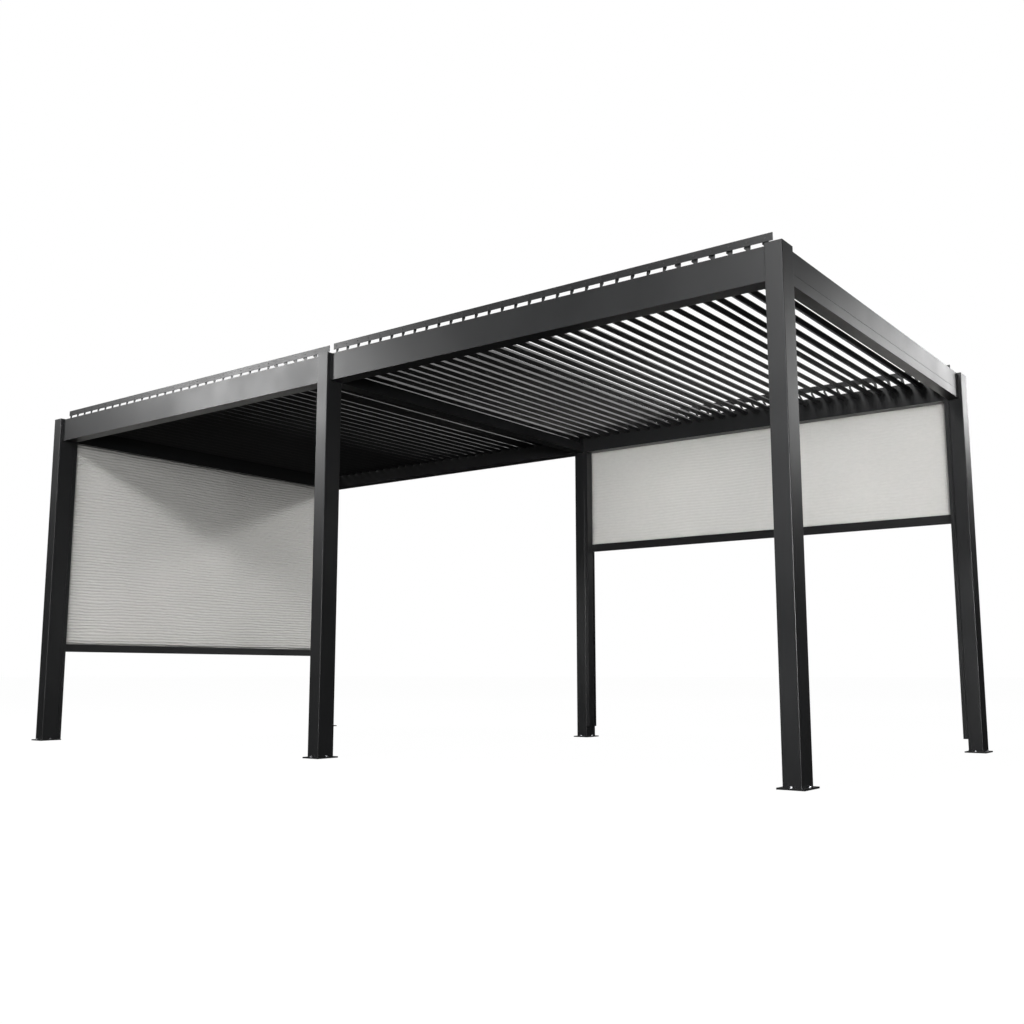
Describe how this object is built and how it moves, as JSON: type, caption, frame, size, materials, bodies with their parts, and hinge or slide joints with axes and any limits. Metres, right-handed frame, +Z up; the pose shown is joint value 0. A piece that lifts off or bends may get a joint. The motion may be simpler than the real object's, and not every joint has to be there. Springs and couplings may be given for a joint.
{
  "type": "electric pergola",
  "caption": "Free-standing two-bay aluminium pergola with a tilting louvre roof, link bars, six posts on foot plates and two partly lowered side screens.",
  "frame": {"origin": "centre of the plan at ground level, on the underside of the foot plates", "axes": "+X along the front towards the right bay, +Y from front to back, +Z up"},
  "size_m": [6.13, 3.04, 2.5562],
  "materials": {
    "frame_coat": "satin powder coat, anthracite",
    "louvre_coat": "satin powder coat, anthracite",
    "screen_fabric": "coated woven screen cloth, pale warm grey"
  },
  "bodies": {
    "frame": {"post_front_left": "frame_coat", "post_front_middle": "frame_coat", "post_front_right": "frame_coat", "post_back_left": "frame_coat", "post_back_middle": "frame_coat", "post_back_right": "frame_coat", "post_caps": "frame_coat", "foot_plates": "frame_coat", "beam_front_left": "frame_coat", "beam_front_right": "frame_coat", "beam_back_left": "frame_coat", "beam_back_right": "frame_coat", "beam_side_left": "frame_coat", "beam_side_right": "frame_coat", "beam_middle": "frame_coat", "louvres_left": "louvre_coat", "arms_left": "frame_coat", "link_bars_left": "frame_coat", "left_guides": "frame_coat", "left_fabric": "screen_fabric", "left_bottom_bar": "frame_coat", "back_guides": "frame_coat", "back_fabric": "screen_fabric", "back_bottom_bar": "frame_coat"},
    "louvre_01": {"louvre_01": "louvre_coat"},
    "louvre_02": {"louvre_02": "louvre_coat"},
    "louvre_03": {"louvre_03": "louvre_coat"},
    "louvre_04": {"louvre_04": "louvre_coat"},
    "louvre_05": {"louvre_05": "louvre_coat"},
    "louvre_06": {"louvre_06": "louvre_coat"},
    "louvre_07": {"louvre_07": "louvre_coat"},
    "louvre_08": {"louvre_08": "louvre_coat"},
    "louvre_09": {"louvre_09": "louvre_coat"},
    "louvre_10": {"louvre_10": "louvre_coat"},
    "louvre_11": {"louvre_11": "louvre_coat"},
    "louvre_12": {"louvre_12": "louvre_coat"},
    "louvre_13": {"louvre_13": "louvre_coat"},
    "louvre_14": {"louvre_14": "louvre_coat"},
    "louvre_15": {"louvre_15": "louvre_coat"},
    "louvre_16": {"louvre_16": "louvre_coat"},
    "louvre_17": {"louvre_17": "louvre_coat"},
    "louvre_18": {"louvre_18": "louvre_coat"},
    "louvre_19": {"louvre_19": "louvre_coat"},
    "louvre_20": {"louvre_20": "louvre_coat"},
    "louvre_21": {"louvre_21": "louvre_coat"},
    "louvre_22": {"louvre_22": "louvre_coat"},
    "louvre_23": {"louvre_23": "louvre_coat"},
    "louvre_24": {"louvre_24": "louvre_coat"},
    "louvre_25": {"louvre_25": "louvre_coat"},
    "louvre_26": {"louvre_26": "louvre_coat"},
    "louvre_27": {"louvre_27": "louvre_coat"},
    "louvre_28": {"louvre_28": "louvre_coat"},
    "louvre_29": {"louvre_29": "louvre_coat"},
    "louvre_30": {"louvre_30": "louvre_coat"},
    "louvre_31": {"louvre_31": "louvre_coat"},
    "louvre_32": {"louvre_32": "louvre_coat"},
    "link_bars": {"link_bars_right": "frame_coat"}
  },
  "joints": [
    {"name": "louvre_26_tilt", "type": "hinge", "parent": "frame", "child": "louvre_26", "pos_m": [2.39861, 0, 2.45], "axis": [0, 1, 0], "range_deg": [-26, 46]},
    {"name": "louvre_01_tilt", "type": "hinge", "parent": "frame", "child": "louvre_01", "pos_m": [0.05095, 0, 2.45], "axis": [0, 1, 0], "range_deg": [-26, 46]},
    {"name": "louvre_02_tilt", "type": "hinge", "parent": "frame", "child": "louvre_02", "pos_m": [0.14486, 0, 2.45], "axis": [0, 1, 0], "range_deg": [-26, 46]},
    {"name": "louvre_03_tilt", "type": "hinge", "parent": "frame", "child": "louvre_03", "pos_m": [0.23877, 0, 2.45], "axis": [0, 1, 0], "range_deg": [-26, 46]},
    {"name": "louvre_04_tilt", "type": "hinge", "parent": "frame", "child": "louvre_04", "pos_m": [0.33267, 0, 2.45], "axis": [0, 1, 0], "range_deg": [-26, 46]},
    {"name": "louvre_05_tilt", "type": "hinge", "parent": "frame", "child": "louvre_05", "pos_m": [0.42658, 0, 2.45], "axis": [0, 1, 0], "range_deg": [-26, 46]},
    {"name": "louvre_06_tilt", "type": "hinge", "parent": "frame", "child": "louvre_06", "pos_m": [0.52048, 0, 2.45], "axis": [0, 1, 0], "range_deg": [-26, 46]},
    {"name": "louvre_07_tilt", "type": "hinge", "parent": "frame", "child": "louvre_07", "pos_m": [0.61439, 0, 2.45], "axis": [0, 1, 0], "range_deg": [-26, 46]},
    {"name": "louvre_08_tilt", "type": "hinge", "parent": "frame", "child": "louvre_08", "pos_m": [0.7083, 0, 2.45], "axis": [0, 1, 0], "range_deg": [-26, 46]},
    {"name": "louvre_09_tilt", "type": "hinge", "parent": "frame", "child": "louvre_09", "pos_m": [0.8022, 0, 2.45], "axis": [0, 1, 0], "range_deg": [-26, 46]},
    {"name": "louvre_10_tilt", "type": "hinge", "parent": "frame", "child": "louvre_10", "pos_m": [0.89611, 0, 2.45], "axis": [0, 1, 0], "range_deg": [-26, 46]},
    {"name": "louvre_11_tilt", "type": "hinge", "parent": "frame", "child": "louvre_11", "pos_m": [0.99002, 0, 2.45], "axis": [0, 1, 0], "range_deg": [-26, 46]},
    {"name": "louvre_12_tilt", "type": "hinge", "parent": "frame", "child": "louvre_12", "pos_m": [1.08392, 0, 2.45], "axis": [0, 1, 0], "range_deg": [-26, 46]},
    {"name": "louvre_13_tilt", "type": "hinge", "parent": "frame", "child": "louvre_13", "pos_m": [1.17783, 0, 2.45], "axis": [0, 1, 0], "range_deg": [-26, 46]},
    {"name": "louvre_14_tilt", "type": "hinge", "parent": "frame", "child": "louvre_14", "pos_m": [1.27173, 0, 2.45], "axis": [0, 1, 0], "range_deg": [-26, 46]},
    {"name": "louvre_15_tilt", "type": "hinge", "parent": "frame", "child": "louvre_15", "pos_m": [1.36564, 0, 2.45], "axis": [0, 1, 0], "range_deg": [-26, 46]},
    {"name": "louvre_16_tilt", "type": "hinge", "parent": "frame", "child": "louvre_16", "pos_m": [1.45955, 0, 2.45], "axis": [0, 1, 0], "range_deg": [-26, 46]},
    {"name": "louvre_17_tilt", "type": "hinge", "parent": "frame", "child": "louvre_17", "pos_m": [1.55345, 0, 2.45], "axis": [0, 1, 0], "range_deg": [-26, 46]},
    {"name": "louvre_18_tilt", "type": "hinge", "parent": "frame", "child": "louvre_18", "pos_m": [1.64736, 0, 2.45], "axis": [0, 1, 0], "range_deg": [-26, 46]},
    {"name": "louvre_19_tilt", "type": "hinge", "parent": "frame", "child": "louvre_19", "pos_m": [1.74127, 0, 2.45], "axis": [0, 1, 0], "range_deg": [-26, 46]},
    {"name": "louvre_20_tilt", "type": "hinge", "parent": "frame", "child": "louvre_20", "pos_m": [1.83517, 0, 2.45], "axis": [0, 1, 0], "range_deg": [-26, 46]},
    {"name": "louvre_21_tilt", "type": "hinge", "parent": "frame", "child": "louvre_21", "pos_m": [1.92908, 0, 2.45], "axis": [0, 1, 0], "range_deg": [-26, 46]},
    {"name": "louvre_22_tilt", "type": "hinge", "parent": "frame", "child": "louvre_22", "pos_m": [2.02298, 0, 2.45], "axis": [0, 1, 0], "range_deg": [-26, 46]},
    {"name": "louvre_23_tilt", "type": "hinge", "parent": "frame", "child": "louvre_23", "pos_m": [2.11689, 0, 2.45], "axis": [0, 1, 0], "range_deg": [-26, 46]},
    {"name": "louvre_24_tilt", "type": "hinge", "parent": "frame", "child": "louvre_24", "pos_m": [2.2108, 0, 2.45], "axis": [0, 1, 0], "range_deg": [-26, 46]},
    {"name": "louvre_25_tilt", "type": "hinge", "parent": "frame", "child": "louvre_25", "pos_m": [2.3047, 0, 2.45], "axis": [0, 1, 0], "range_deg": [-26, 46]},
    {"name": "louvre_27_tilt", "type": "hinge", "parent": "frame", "child": "louvre_27", "pos_m": [2.47252, 0, 2.45], "axis": [0, 1, 0], "range_deg": [-26, 46]},
    {"name": "louvre_28_tilt", "type": "hinge", "parent": "frame", "child": "louvre_28", "pos_m": [2.56642, 0, 2.45], "axis": [0, 1, 0], "range_deg": [-26, 46]},
    {"name": "louvre_29_tilt", "type": "hinge", "parent": "frame", "child": "louvre_29", "pos_m": [2.66033, 0, 2.45], "axis": [0, 1, 0], "range_deg": [-26, 46]},
    {"name": "louvre_30_tilt", "type": "hinge", "parent": "frame", "child": "louvre_30", "pos_m": [2.75423, 0, 2.45], "axis": [0, 1, 0], "range_deg": [-26, 46]},
    {"name": "louvre_31_tilt", "type": "hinge", "parent": "frame", "child": "louvre_31", "pos_m": [2.84814, 0, 2.45], "axis": [0, 1, 0], "range_deg": [-26, 46]},
    {"name": "louvre_32_tilt", "type": "hinge", "parent": "frame", "child": "louvre_32", "pos_m": [2.94205, 0, 2.45], "axis": [0, 1, 0], "range_deg": [-26, 46]},
    {"name": "link_bar_swing", "type": "hinge", "parent": "louvre_26", "child": "link_bars", "pos_m": [2.38333, 0, 2.53666], "axis": [0, 1, 0], "range_deg": [-46, 26]}
  ],
  "couplings": [
    {"joint": "louvre_01_tilt", "follows": "louvre_26_tilt", "ratio": 1},
    {"joint": "louvre_02_tilt", "follows": "louvre_26_tilt", "ratio": 1},
    {"joint": "louvre_03_tilt", "follows": "louvre_26_tilt", "ratio": 1},
    {"joint": "louvre_04_tilt", "follows": "louvre_26_tilt", "ratio": 1},
    {"joint": "louvre_05_tilt", "follows": "louvre_26_tilt", "ratio": 1},
    {"joint": "louvre_06_tilt", "follows": "louvre_26_tilt", "ratio": 1},
    {"joint": "louvre_07_tilt", "follows": "louvre_26_tilt", "ratio": 1},
    {"joint": "louvre_08_tilt", "follows": "louvre_26_tilt", "ratio": 1},
    {"joint": "louvre_09_tilt", "follows": "louvre_26_tilt", "ratio": 1},
    {"joint": "louvre_10_tilt", "follows": "louvre_26_tilt", "ratio": 1},
    {"joint": "louvre_11_tilt", "follows": "louvre_26_tilt", "ratio": 1},
    {"joint": "louvre_12_tilt", "follows": "louvre_26_tilt", "ratio": 1},
    {"joint": "louvre_13_tilt", "follows": "louvre_26_tilt", "ratio": 1},
    {"joint": "louvre_14_tilt", "follows": "louvre_26_tilt", "ratio": 1},
    {"joint": "louvre_15_tilt", "follows": "louvre_26_tilt", "ratio": 1},
    {"joint": "louvre_16_tilt", "follows": "louvre_26_tilt", "ratio": 1},
    {"joint": "louvre_17_tilt", "follows": "louvre_26_tilt", "ratio": 1},
    {"joint": "louvre_18_tilt", "follows": "louvre_26_tilt", "ratio": 1},
    {"joint": "louvre_19_tilt", "follows": "louvre_26_tilt", "ratio": 1},
    {"joint": "louvre_20_tilt", "follows": "louvre_26_tilt", "ratio": 1},
    {"joint": "louvre_21_tilt", "follows": "louvre_26_tilt", "ratio": 1},
    {"joint": "louvre_22_tilt", "follows": "louvre_26_tilt", "ratio": 1},
    {"joint": "louvre_23_tilt", "follows": "louvre_26_tilt", "ratio": 1},
    {"joint": "louvre_24_tilt", "follows": "louvre_26_tilt", "ratio": 1},
    {"joint": "louvre_25_tilt", "follows": "louvre_26_tilt", "ratio": 1},
    {"joint": "louvre_27_tilt", "follows": "louvre_26_tilt", "ratio": 1},
    {"joint": "louvre_28_tilt", "follows": "louvre_26_tilt", "ratio": 1},
    {"joint": "louvre_29_tilt", "follows": "louvre_26_tilt", "ratio": 1},
    {"joint": "louvre_30_tilt", "follows": "louvre_26_tilt", "ratio": 1},
    {"joint": "louvre_31_tilt", "follows": "louvre_26_tilt", "ratio": 1},
    {"joint": "louvre_32_tilt", "follows": "louvre_26_tilt", "ratio": 1},
    {"joint": "link_bar_swing", "follows": "louvre_26_tilt", "ratio": -1}
  ]
}
